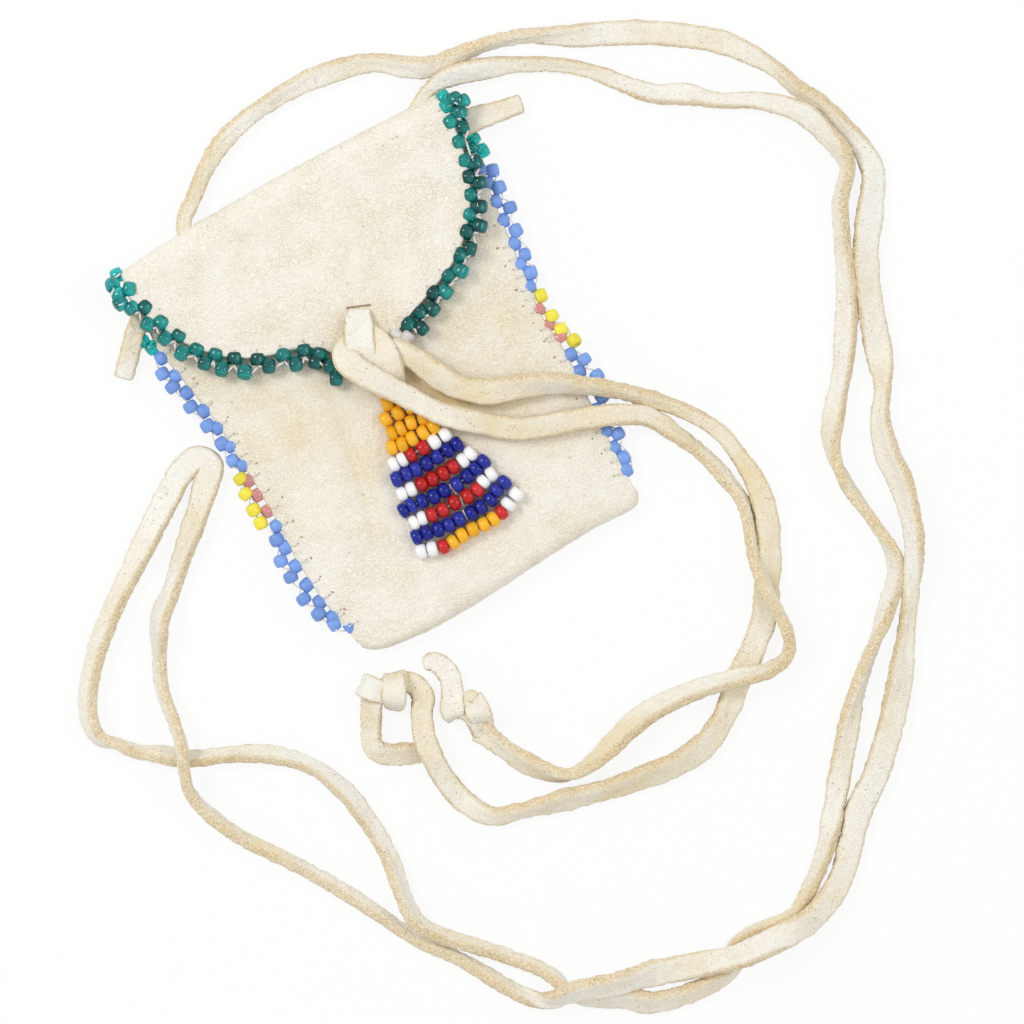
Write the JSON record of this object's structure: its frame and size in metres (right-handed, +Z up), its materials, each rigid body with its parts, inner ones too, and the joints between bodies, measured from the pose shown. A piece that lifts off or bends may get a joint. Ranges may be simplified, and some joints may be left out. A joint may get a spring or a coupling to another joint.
{
  "type": "beaded medicine bag",
  "caption": "Small folded deerskin neck pouch with a rounded flap, zigzag bead edging, a striped bead triangle, a looped tie and a long neck lace.",
  "frame": {"origin": "below the middle of the pouch, on the surface that it lies on", "axes": "+X across the pouch, +Y from its bottom fold to its top fold, +Z up, out of its beaded front"},
  "size_m": [0.1664, 0.1713, 0.0107],
  "materials": {
    "deerskin": "suede",
    "lace": "suede",
    "teal_glass": "polished",
    "sky_blue_glass": "satin",
    "yellow_glass": "satin",
    "rose_glass": "polished",
    "royal_blue_glass": "polished",
    "red_glass": "polished",
    "white_glass": "polished",
    "orange_glass": "polished"
  },
  "bodies": {
    "root": {"back_beads_left_teal": "teal_glass", "back_beads_right_teal": "teal_glass", "flap_beads_left_teal": "teal_glass", "flap_beads_right_teal": "teal_glass", "flap_beads_tip_white": "white_glass", "neck_cord": "lace", "pouch_leather": "deerskin", "side_beads_left_blue_lower": "sky_blue_glass", "side_beads_left_blue_upper": "sky_blue_glass", "side_beads_left_rose": "rose_glass", "side_beads_left_yellow": "yellow_glass", "side_beads_right_blue_lower": "sky_blue_glass", "side_beads_right_blue_upper": "sky_blue_glass", "side_beads_right_rose": "rose_glass", "side_beads_right_yellow": "yellow_glass", "tail_knot_lower": "lace", "tail_knot_upper": "lace", "tie_knot": "lace", "tie_tail_lower": "lace", "tie_tail_upper": "lace", "triangle_row_01_orange_1": "orange_glass", "triangle_row_02_orange_1": "orange_glass", "triangle_row_03_orange_1": "orange_glass", "triangle_row_04_orange_1": "orange_glass", "triangle_row_05_red_2": "red_glass", "triangle_row_05_white_1": "white_glass", "triangle_row_05_white_3": "white_glass", "triangle_row_06_blue_1": "royal_blue_glass", "triangle_row_07_red_2": "red_glass", "triangle_row_07_white_1": "white_glass", "triangle_row_07_white_3": "white_glass", "triangle_row_08_blue_1": "royal_blue_glass", "triangle_row_09_red_2": "red_glass", "triangle_row_09_white_1": "white_glass", "triangle_row_09_white_3": "white_glass", "triangle_row_10_blue_1": "royal_blue_glass", "triangle_row_11_orange_3": "orange_glass", "triangle_row_11_red_2": "red_glass", "triangle_row_11_red_4": "red_glass", "triangle_row_11_white_1": "white_glass", "triangle_row_11_white_5": "white_glass"}
  },
  "joints": []
}
